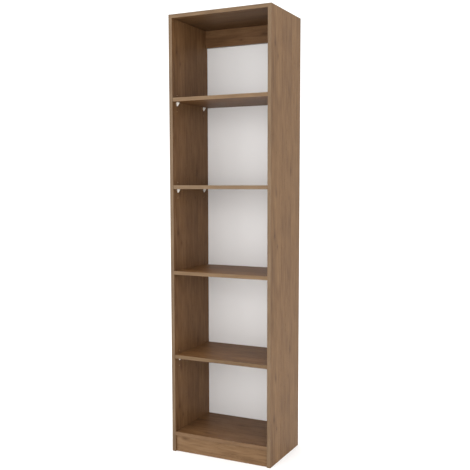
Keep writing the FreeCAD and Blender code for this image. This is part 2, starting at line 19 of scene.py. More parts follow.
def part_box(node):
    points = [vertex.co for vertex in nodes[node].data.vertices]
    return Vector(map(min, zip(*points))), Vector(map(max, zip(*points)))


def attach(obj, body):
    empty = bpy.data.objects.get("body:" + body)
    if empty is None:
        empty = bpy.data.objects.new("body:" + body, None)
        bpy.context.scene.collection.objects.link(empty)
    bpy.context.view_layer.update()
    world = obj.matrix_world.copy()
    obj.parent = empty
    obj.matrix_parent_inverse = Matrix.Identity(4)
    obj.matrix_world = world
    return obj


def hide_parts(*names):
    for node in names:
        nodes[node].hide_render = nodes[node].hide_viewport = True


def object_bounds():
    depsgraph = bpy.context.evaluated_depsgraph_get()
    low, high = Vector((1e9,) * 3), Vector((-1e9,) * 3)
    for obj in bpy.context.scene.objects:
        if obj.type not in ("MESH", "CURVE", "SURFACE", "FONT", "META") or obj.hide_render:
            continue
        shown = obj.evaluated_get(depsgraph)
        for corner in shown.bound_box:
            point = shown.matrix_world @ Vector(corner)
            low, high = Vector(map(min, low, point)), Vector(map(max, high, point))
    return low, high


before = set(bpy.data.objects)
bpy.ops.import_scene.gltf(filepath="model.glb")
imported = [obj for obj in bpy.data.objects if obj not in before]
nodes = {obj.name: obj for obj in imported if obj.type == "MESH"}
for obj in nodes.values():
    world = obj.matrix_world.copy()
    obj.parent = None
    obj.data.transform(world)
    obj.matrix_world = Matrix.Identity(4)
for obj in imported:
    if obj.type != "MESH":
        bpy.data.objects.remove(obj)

cad_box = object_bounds()

# %% [markdown]
# ## Sizes that later cells share
#
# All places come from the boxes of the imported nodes, so a change of size in the model is followed here.
# Corners nearer than MERGE_DISTANCE are one corner. SKIN is the thickness of the foil and of the lacquer:
# deeper is raw.

# %% Shared places
MM = 0.001
MERGE_DISTANCE = 0.001 * MM
SKIN = 0.05 * MM
size = Vector(cad_box[1]) - Vector(cad_box[0])
top_low, top_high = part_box("top_panel")
board = top_high.z - top_low.z
print("width %.3f  depth %.3f  height %.3f  board %.4f" % (*size, board))

# %% [markdown]
# ## Writing shader maths as Python
#
# A procedural finish is a long sum of noises, and wiring it by hand takes dozens of node calls that nobody
# can read. A small class that wraps one output socket and overloads the arithmetic signs lets the sum be
# written as a sum. One more method makes every other kind of node from its settings and its inputs.


# %% The socket wrapper
class Wire:
    """One output socket of a material's node tree. Arithmetic on wires adds Math nodes."""

    def __init__(self, tree, socket):
        self.tree = tree
        self.socket = socket

    def node(self, kind, settings=None, inputs=None, output=0):
        """Any other node: its settings are set first, then its inputs, from values or from other wires."""
        made = self.tree.nodes.new(kind)
        for name, value in (settings or {}).items():
            if name == "stops":
                ramp = made.color_ramp
                while len(ramp.elements) < len(value):
                    ramp.elements.new(1.0)
                for element, (position, colour) in zip(ramp.elements, value):
                    element.position = position
                    element.color = (*colour, 1.0)
            else:
                setattr(made, name, value)
        for name, value in (inputs or {}).items():
            if isinstance(value, Wire):
                self.tree.links.new(value.socket, made.inputs[name])
            else:
                made.inputs[name].default_value = value
        return Wire(self.tree, made.outputs[output])

    def math(self, operation, *others, clamp=False):
        settings = {"operation": operation, "use_clamp": clamp}
        return self.node("ShaderNodeMath", settings, dict(enumerate((self, *others))))

    def __add__(self, other):
        return self.math("ADD", other)

    def __sub__(self, other):
        return self.math("SUBTRACT", other)

    def __mul__(self, other):
        return self.math("MULTIPLY", other)

    def __truediv__(self, other):
        return self.math("DIVIDE", other)

    def __rsub__(self, other):
        return (self * -1.0).math("ADD", other)

    __radd__ = __add__
    __rmul__ = __mul__

    def between(self, start, end, to_start=0.0, to_end=1.0):
        """Smoothly maps start..end to to_start..to_end, and holds the ends."""
        settings = {"interpolation_type": "SMOOTHSTEP", "clamp": True}
        inputs = {"Value": self, "From Min": start, "From Max": end, "To Min": to_start, "To Max": to_end}
        return self.node("ShaderNodeMapRange", settings, inputs)

    def mix(self, colour_a, colour_b):
        """Blends two colours, with this wire as the factor."""
        settings = {"data_type": "RGBA", "clamp_factor": True}
        return self.node("ShaderNodeMix", settings, {0: self, 6: colour_a, 7: colour_b}, output=2)

    def axes(self):
        """The X, Y and Z of a vector."""
        apart = self.tree.nodes.new("ShaderNodeSeparateXYZ")
        self.tree.links.new(self.socket, apart.inputs[0])
        return [Wire(self.tree, socket) for socket in apart.outputs]

    def noise(self, scale, detail=2.0, roughness=0.5):
        """Fractal noise at this wire's position, from 0 to 1."""
        inputs = {"Vector": self, "Scale": scale, "Detail": detail, "Roughness": roughness}
        return self.node("ShaderNodeTexNoise", {"noise_dimensions": "3D"}, inputs)


def new_material(name):
    """A material with only its output and a principled shader, and the wire of the object's coordinates."""
    material = bpy.data.materials.new(name)
    material.use_nodes = True
    tree = material.node_tree
    shader = tree.nodes["Principled BSDF"]
    coordinates = Wire(tree, tree.nodes.new("ShaderNodeTexCoord").outputs["Object"])
    return material, shader, coordinates


def connect(shader, **sockets):
    """Feeds wires or plain values to a shader; an underscore in a name stands for a space."""
    for name, value in sockets.items():
        socket = shader.inputs[name.replace("_", " ")]
        if isinstance(value, Wire):
            value.tree.links.new(value.socket, socket)
        else:
            socket.default_value = value


def bump(coordinates, height, distance, strength=1.0):
    """A normal from a height map; distance is how far the highest point stands out, in metres."""
    inputs = {"Height": height, "Distance": distance, "Strength": strength}
    return coordinates.node("ShaderNodeBump", None, inputs)


def position(coordinates, x, y, z):
    """A vector put together from three wires or values."""
    return coordinates.node("ShaderNodeCombineXYZ", None, {0: x, 1: y, 2: z})


def paint(node, material):
    """Gives a node of the model one material all over."""
    mesh = nodes[node].data
    mesh.materials.clear()
    mesh.materials.append(material)


# %% [markdown]
# ## The wood-grain foil
#
# The foil is a printed picture of oak. A print has two directions only, along the grain and across it, so
# the pattern is a function of those two and ignores the depth of the board. The picture comes off a roller,
# so it starts again after every turn of the roller. Noise has no such repeat of its own, but noise read on
# a circle does: the place along the grain becomes an angle, and one turn of the circle is one turn of the
# roller.

# %% Foil colours and the roller
DARK_BROWN = (0.0718, 0.0315, 0.011)
MID_BROWN = (0.1339, 0.0655, 0.0262)
PALE_BROWN = (0.1873, 0.0995, 0.0429)
KNOT_BROWN = (0.0525, 0.0217, 0.0072)
FOIL_STOPS = [(0.34, DARK_BROWN), (0.50, MID_BROWN), (0.66, PALE_BROWN)]
# The front stops are a paler, cooler copy of the foil's colours for the faces that look to the front, the
# edge strips and the plinth: partly the strips' own colour and partly painted light, for the light that those
# faces catch from the front.
FRONT_STOPS_WITH_PAINTED_LIGHT = [
    (0.34, (0.0736, 0.0392, 0.0178)),
    (0.50, (0.1264, 0.0744, 0.0363)),
    (0.66, (0.1640, 0.1024, 0.0553)),
]
ROLLER_TURN = 0.735


def tinted(stops, tint):
    """The same stops with red, green and blue each multiplied by the tint."""
    return [
        (place, tuple(channel * factor for channel, factor in zip(colour, tint)))
        for place, colour in stops
    ]


# %% Noise on the roller
def rolled(along, across, fine_along, fine_across, seed, detail=2.0, roughness=0.5):
    """Noise that repeats along the grain: fine_along and fine_across are its spots per metre each way."""
    angle = along * (math.tau / ROLLER_TURN)
    radius = ROLLER_TURN * fine_along / math.tau
    circle_x = angle.math("COSINE") * radius
    circle_y = angle.math("SINE") * radius
    place = position(along, circle_x, circle_y, across * fine_across)
    settings = {"noise_dimensions": "4D"}
    inputs = {"Vector": place, "W": seed, "Scale": 1.0, "Detail": detail, "Roughness": roughness}
    return place.node("ShaderNodeTexNoise", settings, inputs)


# %% [markdown]
# ## Knots
#
# A knot is where a branch grew: a small dark oval with a darker rim, and the grain parts round it like
# water round a stone. Each knot has its place on the roller's picture. Near it the place across the grain
# is squeezed towards the knot's own middle line, and that alone makes every line of the print bend round
# it.

# %% Knots on the roller: place along, place across, half length and half width in metres, and darkness
KNOTS = [
    (0.083, -0.098, 0.017, 0.0065, 0.75),
    (0.650, -0.112, 0.010, 0.0048, 0.95),
    (0.607, -0.084, 0.009, 0.0042, 0.85),
    (0.171, 0.047, 0.018, 0.0075, 0.70),
    (0.061, 0.032, 0.007, 0.0034, 0.80),
    (0.255, 0.002, 0.040, 0.0045, 0.45),
]
REACH_ALONG = 2.6
REACH_ACROSS = 2.4
SQUEEZE = 0.85


def squares(along, half_long, across, half_wide):
    """The squared distance from a knot's middle, counted in its half length and half width."""
    return (along / half_long).math("POWER", 2.0) + (across / half_wide).math("POWER", 2.0)


def part_round_knots(along, across):
    """The place across the grain, bent round every knot, and how dark the knots are at the point."""
    bent = across
    dark = None
    for knot_along, knot_across, half_long, half_wide, darkness in KNOTS:
        turns = (along - knot_along) / ROLLER_TURN
        off_along = (turns - turns.math("ROUND")) * ROLLER_TURN
        off_across = across - knot_across
        reach = squares(off_along, half_long * REACH_ALONG, off_across, half_wide * REACH_ACROSS)
        pull = (reach * -1.0).math("EXPONENT")
        bent = bent - off_across * pull * SQUEEZE
        oval = squares(off_along, half_long, off_across, half_wide).math("SQRT")
        core = oval.between(0.35, 1.0, darkness, 0.0)
        rim = oval.between(0.55, 0.95) * oval.between(0.95, 1.5, 1.0, 0.0) * (darkness * 0.45)
        halo = oval.between(1.0, 3.2, darkness * 0.22, 0.0)
        shade = core + rim + halo
        dark = shade if dark is None else dark + shade
    return bent, dark


# %% [markdown]
# ## The print itself
#
# Wood grain is noise that is stretched along the grain. Several widths of it are laid over each other:
# broad bands of tone as wide as a hand, figure as long as a finger and as wide as a pencil, fibres as fine
# as a hair, and the short dark dashes of open pores. A slow noise bends all of them together, which is what
# makes the lines look grown instead of ruled.


# %% Layers of the print: spots per metre along and across the grain, seed, detail and roughness
SLOW_BEND = (2.6, 9.0, 1.3, 1.0)
QUICK_BEND = (14.0, 45.0, 2.9, 2.0)
BANDS = (1.6, 14.0, 1.7, 1.0)
FIGURE = (7.5, 75.0, 4.1, 3.0, 0.55)
DASHES = (17.0, 190.0, 5.6, 2.0, 0.5)
FIBRES = (26.0, 620.0, 7.9, 2.0, 0.6)
OPEN_PORES = (110.0, 1700.0, 2.3, 0.0)
PORE_CLUSTERS = (6.0, 55.0, 9.2, 1.0)
SLOW_SWAY = 0.016
QUICK_SWAY = 0.0026


# %% Foil pattern
def grain(along, across, start):
    """The oak print at a point: its tone from 0, dark, to 1, pale, its pores, its fibres and its knots."""
    u = along + start[0]
    v = across + start[1]
    bent, knots = part_round_knots(u, v)
    slow = rolled(u, v, *SLOW_BEND) - 0.5
    quick = rolled(u, v, *QUICK_BEND) - 0.5
    bent = bent + slow * SLOW_SWAY + quick * QUICK_SWAY
    bands = rolled(u, bent, *BANDS)
    figure = rolled(u, bent, *FIGURE)
    dashes = rolled(u, bent, *DASHES)
    fibres = rolled(u, bent, *FIBRES)
    open_pores = rolled(u, bent, *OPEN_PORES)
    clusters = rolled(u, bent, *PORE_CLUSTERS)
    pores = open_pores.between(0.58, 0.72) * clusters.between(0.44, 0.62)
    tone = bands * 0.26 + figure * 0.38 + dashes * 0.24 + fibres * 0.12
    return tone, pores, fibres, knots


# %% [markdown]
# ## Raw particle board
#
# The foil covers only the two faces of a board. Its rear edge, its ends and the walls of its drilled holes
# are raw board: pressed chips, coarse in the middle and fine near the faces. The shader finds them by
# depth: a point that lies deeper than the foil, between the two faces, is raw.


# %% Chips
CHIP_SCALE = 420.0
DUST_SCALE = 1300.0
CHIP_STOPS = [
    (0.15, (0.16, 0.085, 0.040)),
    (0.45, (0.36, 0.235, 0.130)),
    (0.85, (0.56, 0.405, 0.250)),
]


def chips(coordinates):
    """Raw particle board: a colour, and a height for its bump."""
    cells = {"Vector": coordinates, "Scale": CHIP_SCALE, "Randomness": 1.0}
    cell = coordinates.node("ShaderNodeTexVoronoi", {"feature": "F1"}, cells, output="Color").axes()
    fine = coordinates.noise(DUST_SCALE, 2.0)
    tone = cell[0] * 0.65 + fine * 0.35
    colour = tone.node("ShaderNodeValToRGB", {"stops": CHIP_STOPS}, {"Fac": tone})
    return colour, tone


# %% The board material
AXES = {"x": 0, "y": 1, "z": 2}
FOIL_SHINE = 0.13
STRIP_SHINE = 0.25


def board_material(name, box, along, across, through, start, stops):
    """Foil-covered board: the grain runs along one axis, and the board is thin along through."""
    material, shader, coordinates = new_material(name)
    place = coordinates.axes()
    tone, pores, fibres, knots = grain(place[AXES[along]], place[AXES[across]], start)
    printed = tone.node("ShaderNodeValToRGB", {"stops": stops}, {"Fac": tone})
    printed = (pores * 0.45 + knots * 0.62).mix(printed, (*KNOT_BROWN, 1.0))
    middle = (box[0][AXES[through]] + box[1][AXES[through]]) / 2
    half = (box[1][AXES[through]] - box[0][AXES[through]]) / 2
    depth = half - (place[AXES[through]] - middle).math("ABSOLUTE")
    raw = depth.math("GREATER_THAN", SKIN)
    raw_colour, raw_height = chips(coordinates)
    height = (raw * (raw_height - fibres * 0.5 + pores)) + fibres * 0.5 - pores
    rough = raw * 0.35 + fibres * 0.10 + pores * 0.15 + 0.43
    normal = bump(coordinates, height, 0.06 * MM, 0.6)
    connect(shader, Base_Color=raw.mix(printed, raw_colour), Roughness=rough, Normal=normal)
    shader.inputs["Specular IOR Level"].default_value = FOIL_SHINE
    return material


# Board: grain direction, direction across the grain, thin direction, its start on the roller, and its tint.
# The tints were fitted so that each board comes out as pale as on the real bookcase under this lesson's
# light. They are partly the foil's own unevenness and partly painted light and shade, so a new light needs
# new tints. The top panel's low tint is painted shade for its underside, which lies in shade inside the case.
BOARDS = {
    "side_panel_left": ("z", "y", "x", (-0.27, 0.0), (1.11, 1.14, 1.18)),
    "side_panel_right": ("z", "y", "x", (-0.27, 0.0), (1.08, 1.15, 1.14)),
    # Painted shade: darker for the shaded underside, and so darker on its upper face as well.
    "top_panel": ("x", "y", "z", (0.50, 0.30), (0.76, 0.78, 0.78)),
    "adjustable_shelf_upper": ("x", "y", "z", (0.60, 0.02), (0.97, 0.92, 0.80)),
    "adjustable_shelf_second": ("x", "y", "z", (0.25, -0.03), (1.00, 0.97, 0.90)),
    "middle_shelf": ("x", "y", "z", (0.10, 0.35), (1.18, 1.12, 0.98)),
    "adjustable_shelf_lower": ("x", "y", "z", (0.42, 0.01), (1.19, 1.17, 1.10)),
    "bottom_shelf": ("x", "y", "z", (0.167, 0.007), (1.08, 1.08, 1.08)),
    "plinth": ("x", "z", "y", (0.252, -0.156), (1.30, 1.26, 1.25)),
    "back_rail": ("x", "z", "y", (0.10, -1.70), (1.22, 1.28, 1.42)),
}
for name, (along, across, through, start, tint) in BOARDS.items():
    # The plinth looks to the front and takes the front stops, with their painted light.
    stops = tinted(FRONT_STOPS_WITH_PAINTED_LIGHT if name == "plinth" else FOIL_STOPS, tint)
    paint(name, board_material("foil_" + name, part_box(name), along, across, through, start, stops))
print("board finishes", len(BOARDS))

# %% [markdown]
# ## Edge strips
#
# An edge strip is a ribbon of the same print, glued on and trimmed. It has its own start on the pattern, it
# is a little paler and cooler than the faces, partly by its own colour and partly as painted light on an
# edge that faces the front, and a thin dark line of glue shows where it meets the board.


# %% Strip material
GLUE_LINE = (0.05 * MM, 0.14 * MM)


def strip_material(name, box, along, across, glue_axis, glue_side, start, stops):
    """An edge strip: the grain runs along it, and the glue line lies on the side towards the board."""
    material, shader, coordinates = new_material(name)
    place = coordinates.axes()
    tone, pores, fibres, knots = grain(place[AXES[along]], place[AXES[across]], start)
    printed = tone.node("ShaderNodeValToRGB", {"stops": stops}, {"Fac": tone})
    printed = (pores * 0.35 + knots * 0.5).mix(printed, (*KNOT_BROWN, 1.0))
    axis = AXES[glue_axis]
    glued = box[1][axis] if glue_side > 0 else box[0][axis]
    gap = (place[axis] - glued).math("ABSOLUTE")
    glue = gap.between(*GLUE_LINE, 1.0, 0.0)
    colour = (glue * 0.7).mix(printed, (*DARK_BROWN, 1.0))
    rough = fibres * 0.10 + 0.38
    normal = bump(coordinates, fibres * 0.5 - pores, 0.05 * MM, 0.5)
    connect(shader, Base_Color=colour, Roughness=rough, Normal=normal)
    shader.inputs["Specular IOR Level"].default_value = STRIP_SHINE
    return material


# Strip: grain direction, direction across the grain, the axis and side of its glue line, and its tint.
# Like the board tints, the strip tints were fitted under this light, so they are partly the strips' own
# colour and partly painted light and shade.
STRIPS = {
    "edge_strip_side_left": ("z", "x", "y", 1, (1.09, 1.15, 1.24)),
    "edge_strip_side_right": ("z", "x", "y", 1, (1.10, 1.16, 1.24)),
    "edge_strip_top_end_left": ("y", "x", "z", -1, (1.10, 1.16, 1.24)),
    "edge_strip_top_end_right": ("y", "x", "z", -1, (1.10, 1.16, 1.24)),
    "edge_strip_top": ("x", "z", "y", 1, (1.10, 1.12, 1.12)),
    "edge_strip_shelf_upper": ("x", "z", "y", 1, (1.12, 1.12, 1.06)),
    "edge_strip_shelf_second": ("x", "z", "y", 1, (1.07, 1.10, 1.10)),
    "edge_strip_middle": ("x", "z", "y", 1, (1.06, 1.05, 0.98)),
    "edge_strip_shelf_lower": ("x", "z", "y", 1, (0.95, 0.94, 0.87)),
    "edge_strip_bottom": ("x", "z", "y", 1, (1.07, 0.99, 0.92)),
    "edge_strip_back_rail": ("x", "y", "z", 1, (1.15, 1.20, 1.30)),
}
STRIP_START = 10.0
STRIP_STEP = (1.3, 0.37)
for i, (name, (along, across, glue_axis, glue_side, tint)) in enumerate(STRIPS.items()):
    start = (STRIP_START + STRIP_STEP[0] * i, STRIP_STEP[1] * i)
    # Strips take the front stops: their own paler colour with painted light on top.
    stops = tinted(FRONT_STOPS_WITH_PAINTED_LIGHT, tint)
    strip = strip_material("strip_" + name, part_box(name), along, across, glue_axis, glue_side, start, stops)
    paint(name, strip)
print("strip finishes", len(STRIPS))

# %% [markdown]
# ## The back panel
#
# Hardboard is lacquered white on the side that shows and left raw on the side towards the wall. The white
# side has the faint orange-peel of sprayed lacquer. The raw side is dark, fibrous and carries the weave of
# the wire screen that it was pressed on.

# %% Back panel material
WHITE_LOW = (0.885, 0.880, 0.875, 1.0)
WHITE_HIGH = (0.910, 0.905, 0.900, 1.0)
PULP_STOPS = [(0.30, (0.125, 0.070, 0.036)), (0.50, (0.190, 0.112, 0.060)), (0.72, (0.262, 0.165, 0.094))]
SCREEN_PITCH = 1.6 * MM
back_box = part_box("back_panel")
material, shader, coordinates = new_material("hardboard_white")
place = coordinates.axes()
lacquered = place[1].math("LESS_THAN", back_box[0].y + SKIN)
peel = coordinates.noise(420.0, 2.0)
cloud = coordinates.noise(5.0, 3.0)
white = cloud.mix(WHITE_LOW, WHITE_HIGH)
fibre_bends = coordinates.noise(60.0, 2.0) * 0.02
strands = position(coordinates, place[0] * 900.0, place[1], place[2] * 260.0 + fibre_bends)
pulp = strands.noise(1.0, 4.0, 0.6)
flock = coordinates.noise(35.0, 3.0, 0.6)
pulp_tone = pulp * 0.65 + flock * 0.35
brown = pulp.node("ShaderNodeValToRGB", {"stops": PULP_STOPS}, {"Fac": pulp_tone})
screen_x = (place[0] * (math.tau / SCREEN_PITCH)).math("SINE")
screen_z = (place[2] * (math.tau / SCREEN_PITCH)).math("SINE")
screen = screen_x * screen_z
height = lacquered * (peel * 0.25 - screen * 0.5 - pulp) + screen * 0.5 + pulp
connect(
    shader,
    Base_Color=lacquered.mix(brown, white),
    Roughness=lacquered * -0.38 + 0.80,
    Normal=bump(coordinates, height, 0.08 * MM, 0.5),
)
paint("back_panel", material)

# %% [markdown]
# ## Fittings
#
# The pins are moulded plastic, the cam locks and bolts are zinc-plated, the dowels are beech and the nails
# are bright steel. Small things still need a finish of their own, because the shelves come out and show
# them.

# %% Fitting materials
material, shader, coordinates = new_material("pin_plastic")
mottle = coordinates.noise(260.0, 2.0)
connect(
    shader,
    Base_Color=mottle.mix((0.80, 0.75, 0.68, 1.0), (0.86, 0.82, 0.76, 1.0)),
    Roughness=mottle * 0.12 + 0.30,
    Normal=bump(coordinates, coordinates.noise(1800.0, 1.0), 0.02 * MM, 0.5),
)
pin_plastic = material


def metal(name, scuffs, dull, bright, rough_rise, smooth, relief):
    """A metal whose scuffs change its colour, its gloss and its relief together."""
    material, shader, coordinates = new_material(name)
    scuff = coordinates.noise(*scuffs)
    connect(
        shader,
        Base_Color=scuff.mix((*dull, 1.0), (*bright, 1.0)),
        Metallic=1.0,
        Roughness=scuff * rough_rise + smooth,
        Normal=bump(coordinates, scuff, relief, 0.4),
    )
    return material


zinc = metal("zinc", (500.0, 4.0, 0.7), (0.42, 0.42, 0.41), (0.66, 0.66, 0.65), 0.30, 0.25, 0.03 * MM)

material, shader, coordinates = new_material("beech")
place = coordinates.axes()
flecks = position(coordinates, place[0] * 60.0, place[1] * 700.0, place[2] * 700.0).noise(1.0, 2.0)
connect(
    shader,
    Base_Color=flecks.mix((0.48, 0.30, 0.16, 1.0), (0.68, 0.48, 0.29, 1.0)),
    Roughness=flecks * 0.1 + 0.62,
    Normal=bump(coordinates, flecks, 0.05 * MM, 0.5),
)
beech = material

steel_scuffs = (900.0, 3.0, 0.6)
nail_steel = metal("nail_steel", steel_scuffs, (0.30, 0.30, 0.31), (0.56, 0.56, 0.57), 0.25, 0.22, 0.02 * MM)
print("materials so far", len(bpy.data.materials))

# %% [markdown]
# ## Where the fittings are
#
# A set of equal fittings is one node of the model, so its box only says where the whole set is. A merged
# copy of its mesh falls apart into its solids, and the box of each solid says where one fitting belongs.


# %% The solids of a node
def solids(node):
    """The low and high corner of every separate solid of a node."""
    copy = bmesh.new()
    copy.from_mesh(nodes[node].data)
    bmesh.ops.remove_doubles(copy, verts=copy.verts, dist=MERGE_DISTANCE)
    waiting = set(copy.verts)
    boxes = []
    while waiting:
        edge_of_search = [waiting.pop()]
        places = []
        while edge_of_search:
            vertex = edge_of_search.pop()
            places.append(vertex.co.copy())
            for edge in vertex.link_edges:
                other = edge.other_vert(vertex)
                if other in waiting:
                    waiting.remove(other)
                    edge_of_search.append(other)
        lowest = Vector([min(place[i] for place in places) for i in range(3)])
        highest = Vector([max(place[i] for place in places) for i in range(3)])
        boxes.append((lowest, highest))
    copy.free()
    return sorted(boxes, key=lambda box: tuple(box[0]))


# %% Turning shapes into pieces
def corners_of(geometry):
    return [part for part in geometry if isinstance(part, bmesh.types.BMVert)]


def edges_of(geometry):
    return [part for part in geometry if isinstance(part, bmesh.types.BMEdge)]


def soften(shape, edges, radius, segments=2):
    """Rounds edges by a radius."""
    bmesh.ops.bevel(
        shape, geom=edges, offset=radius, offset_type="OFFSET", affect="EDGES", segments=segments,
        profile=0.5, material=-1, clamp_overlap=True,
    )


def turned(profile, steps=24):
    """A shape turned about X from pairs of length and radius that start and end on the axis."""
    shape = bmesh.new()
    points = [shape.verts.new((x, 0.0, radius)) for x, radius in profile]
    lines = [shape.edges.new(pair) for pair in zip(points, points[1:])]
    spun = points + lines
    bmesh.ops.spin(shape, geom=spun, axis=(1, 0, 0), angle=math.tau, steps=steps, use_merge=True)
    bmesh.ops.remove_doubles(shape, verts=shape.verts, dist=MERGE_DISTANCE)
    bmesh.ops.recalc_face_normals(shape, faces=shape.faces)
    return shape


def join(shape, other, place=None):
    """Adds a copy of another shape, moved by a matrix."""
    data = bpy.data.meshes.new("part")
    other.to_mesh(data)
    if place is not None:
        data.transform(place)
    shape.from_mesh(data)
    bpy.data.meshes.remove(data)


def facing(on_left):
    """Fittings are made for the left side, and turned half round for the right one."""
    return Matrix.Rotation(0.0 if on_left else math.pi, 4, "Z")


def finish_piece(shape, name, material, body, node, smooth_angle=35.0):
    """Makes the shape an object with its finish and its body, in place of a node of the model."""
    data = bpy.data.meshes.new(name)
    shape.to_mesh(data)
    shape.free()
    data.materials.append(material)
    data.shade_smooth()
    data.set_sharp_from_angle(angle=math.radians(smooth_angle))
    piece = bpy.data.objects.new(name, data)
    bpy.context.scene.collection.objects.link(piece)
    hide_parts(node)
    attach(piece, body)


# %% [markdown]
# ## Shelf pins
#
# A shelf pin is one moulding: a shield that lies against the side, a flat top for the shelf and a round
# peg. The shield is drawn as a flat outline and extruded, a slanted cut takes off its lower corner, and all
# its edges are rounded, because a mould can't make sharp ones. The slope is sunk a little, as thick plastic
# is. The peg is turned, with six thin ribs that squeeze into the hole. One shape serves all twelve pins: it
# is turned half round for the right side.

# %% The pin's sizes and its shape
PIN_TOP = 5.0 * MM
PIN_FOOT = -10.0 * MM
PIN_BROW = 1.0 * MM
PIN_HALF_WIDTH = 6.0 * MM
FOOT_HALF_WIDTH = 2.0 * MM
PIN_REACH = 8.0 * MM
PIN_LIP = 2.0 * MM
PEG_LENGTH = 9.0 * MM
PEG_RADIUS = 2.45 * MM
RIB = 0.25 * MM
RIBS = 6
RIB_ROUNDING = 0.09 * MM
PIN_ROUNDING = 0.7 * MM
SLOPE_BORDER = 0.9 * MM
SLOPE_SINK = 0.35 * MM


def moulded_pin():
    """A shelf pin with its peg along -X, its shield in the plane X = 0 and the shelf's weight from above."""
    shape = bmesh.new()
    shield = [
        (-PIN_HALF_WIDTH, PIN_TOP), (PIN_HALF_WIDTH, PIN_TOP), (PIN_HALF_WIDTH, PIN_BROW),
        (FOOT_HALF_WIDTH, PIN_FOOT), (-FOOT_HALF_WIDTH, PIN_FOOT), (-PIN_HALF_WIDTH, PIN_BROW),
    ]
    back = shape.faces.new([shape.verts.new((0.0, y, z)) for y, z in shield])
    grown = bmesh.ops.extrude_face_region(shape, geom=[back])["geom"]
    bmesh.ops.translate(shape, verts=corners_of(grown), vec=(PIN_REACH, 0.0, 0.0))
    slope_low = Vector((PIN_LIP, 0.0, PIN_FOOT))
    slope_high = Vector((PIN_REACH, 0.0, PIN_TOP - PIN_LIP))
    slope = slope_high - slope_low
    outwards = Vector((slope.z, 0.0, -slope.x)).normalized()
    whole = list(shape.verts) + list(shape.edges) + list(shape.faces)
    cut = bmesh.ops.bisect_plane(shape, geom=whole, plane_co=slope_low, plane_no=outwards, clear_outer=True)
    bmesh.ops.holes_fill(shape, edges=edges_of(cut["geom_cut"]), sides=0)
    bmesh.ops.recalc_face_normals(shape, faces=shape.faces)
    rim = [edge for edge in shape.edges if max(vertex.co.x for vertex in edge.verts) > RIB]
    soften(shape, rim, PIN_ROUNDING, 3)
    sloping = max(shape.faces, key=lambda face: face.calc_area() * max(0.0, face.normal.dot(outwards) - 0.9))
    for thickness, depth in ((SLOPE_BORDER, 0.0), (SLOPE_SINK, -SLOPE_SINK)):
        bmesh.ops.inset_region(shape, faces=[sloping], thickness=thickness, depth=depth, use_even_offset=True)
    core = PEG_RADIUS - RIB
    peg = turned([
        (RIB, 0.0), (RIB, core), (-0.86 * PEG_LENGTH, core), (-0.97 * PEG_LENGTH, core * 0.72),
        (-PEG_LENGTH, core * 0.55), (-PEG_LENGTH, 0.0),
    ])
    join(shape, peg)
    peg.free()
    for i in range(RIBS):
        rib = bmesh.new()
        bmesh.ops.create_cube(rib, size=1.0)
        bmesh.ops.scale(rib, vec=(0.74 * PEG_LENGTH, 2 * RIB, 2 * RIB), verts=rib.verts)
        soften(rib, list(rib.edges), RIB_ROUNDING)
        bmesh.ops.translate(rib, verts=rib.verts, vec=(-0.44 * PEG_LENGTH, 0.0, core))
        join(shape, rib, Matrix.Rotation(math.tau * i / RIBS, 4, "X"))
        rib.free()
    return shape


# %% The twelve pins
pin_nodes = [name for name in nodes if name.startswith("shelf_pin_")]
for node in pin_nodes:
    lowest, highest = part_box(node)
    on_left = lowest.x + highest.x < 0.0
    face = lowest.x + PEG_LENGTH if on_left else highest.x - PEG_LENGTH
    centre = Vector((face, (lowest.y + highest.y) / 2, lowest.z - PIN_FOOT))
    shape = moulded_pin()
    shape.transform(Matrix.Translation(centre) @ facing(on_left))
    piece_name = node.replace("shelf_pin", "moulded_pin")
    finish_piece(shape, piece_name, pin_plastic, "body_" + node, node)
print("pins", len(pin_nodes))

# %% [markdown]
# ## Cam locks
#
# A cam lock is a zinc drum that sits flush in the board. Its face has a cross for the screwdriver and a
# small arrow that shows which way the bolt comes in; in its side is the window that takes the bolt's head.
# The drum is a bevelled cylinder and the hollows are cut from it with a boolean, the way a die would leave
# them.


# %% Cutting one shape from another
def carve(shape, cutter):
    """What is left of a shape when another is cut from it; both are used up."""
    pair = []
    for name, part in (("solid", shape), ("cutter", cutter)):
        data = bpy.data.meshes.new(name)
        part.to_mesh(data)
        part.free()
        pair.append(bpy.data.objects.new(name, data))
        bpy.context.scene.collection.objects.link(pair[-1])
    solid, tool = pair
    cut = solid.modifiers.new("cut", "BOOLEAN")
    cut.operation = "DIFFERENCE"
    cut.solver = "EXACT"
    cut.object = tool
    bpy.context.view_layer.update()
    left = bmesh.new()
    left.from_object(solid, bpy.context.evaluated_depsgraph_get())
    for part in pair:
        data = part.data
        bpy.data.objects.remove(part)
        bpy.data.meshes.remove(data)
    return left


def block(low_corner, high_corner):
    """A box between two corners."""
    shape = bmesh.new()
    bmesh.ops.create_cube(shape, size=1.0)
    low_corner = Vector(low_corner)
    high_corner = Vector(high_corner)
    bmesh.ops.scale(shape, vec=high_corner - low_corner, verts=shape.verts)
    bmesh.ops.translate(shape, vec=(low_corner + high_corner) / 2, verts=shape.verts)
    return shape


# %% The cam lock
LOCKED_BOARDS = ("top", "middle", "bottom")
WINDOW = 7.6 * MM
CROSS_WIDE = 1.3 * MM
CROSS_DEEP = 2.2 * MM
CROSS_SHARE = 0.62
DRUM_ROUNDING = 0.45 * MM
ARROW_DEEP = 0.35 * MM
ARROW_HALF_WIDE = 1.1 * MM


